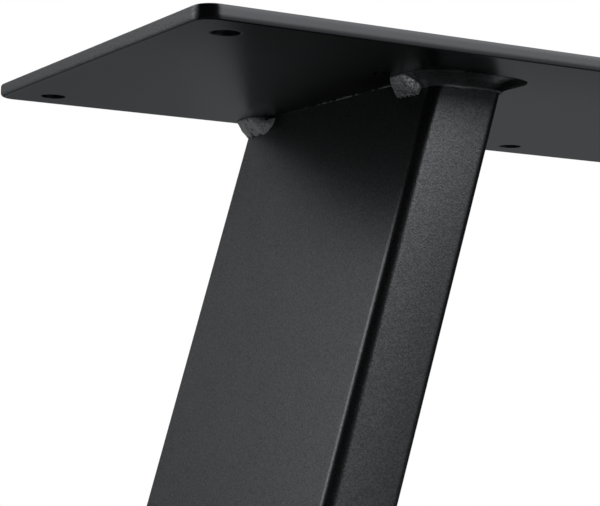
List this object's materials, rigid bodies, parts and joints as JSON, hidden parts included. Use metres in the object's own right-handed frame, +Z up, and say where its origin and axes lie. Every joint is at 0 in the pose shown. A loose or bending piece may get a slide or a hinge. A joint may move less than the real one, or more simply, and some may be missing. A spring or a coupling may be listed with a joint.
{
  "type": "trestle table leg",
  "caption": "A-frame trestle table leg: a long drilled top plate on flat rectangular tubes that splay outwards, hooked welds at the joints and plastic plugs at the floor.",
  "frame": {"origin": "on the floor, under the middle of the top plate", "axes": "+X along the plate, +Y across it towards the edge that the tubes nearly reach, +Z up"},
  "size_m": [0.7322, 0.13, 0.72],
  "materials": {
    "black_powder_coat": "satin black powder coat with a fine grain",
    "coated_weld": "rippled fillet weld under satin black powder coat",
    "black_plastic": "matt moulded black plastic"
  },
  "bodies": {
    "root": {"top_plate": "black_powder_coat", "leg_tube_left": "black_powder_coat", "leg_tube_right": "black_powder_coat", "weld_front_left": "coated_weld", "weld_front_right": "coated_weld", "weld_back_left": "coated_weld", "weld_back_right": "coated_weld", "foot_plug_left": "black_plastic", "foot_plug_right": "black_plastic"}
  },
  "joints": []
}
